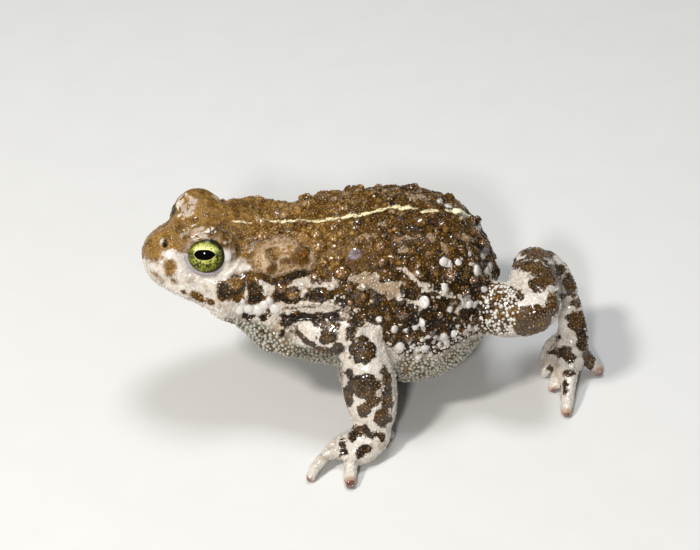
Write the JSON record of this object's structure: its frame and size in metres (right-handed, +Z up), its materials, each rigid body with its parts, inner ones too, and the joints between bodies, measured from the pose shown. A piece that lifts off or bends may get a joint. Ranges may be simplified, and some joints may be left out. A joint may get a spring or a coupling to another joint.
{
  "type": "natterjack toad",
  "caption": "Life-size natterjack toad, a still model in mid walk on four feet, warty back, banded limbs, chest and head held up.",
  "frame": {"origin": "on the floor, under the middle of the model's footprint", "axes": "+Z up, the head points along -X, the toad's left side faces -Y"},
  "size_m": [0.0912, 0.0826, 0.0404],
  "materials": {
    "warty_back": "moist warty skin, satin",
    "banded_limb": "moist skin, cream with brown bands, satin",
    "eye": "wet, clear over a yellow-green iris"
  },
  "bodies": {
    "root": {"head": "warty_back", "torso": "warty_back", "eye_left": "eye", "eye_right": "eye", "upper_arm_left": "banded_limb", "forearm_left": "banded_limb", "hand_left": "banded_limb", "upper_arm_right": "banded_limb", "forearm_right": "banded_limb", "hand_right": "banded_limb", "thigh_left": "banded_limb", "shank_left": "banded_limb", "tarsus_left": "banded_limb", "foot_left": "banded_limb", "thigh_right": "banded_limb", "shank_right": "banded_limb", "tarsus_right": "banded_limb", "foot_right": "banded_limb"}
  },
  "joints": []
}
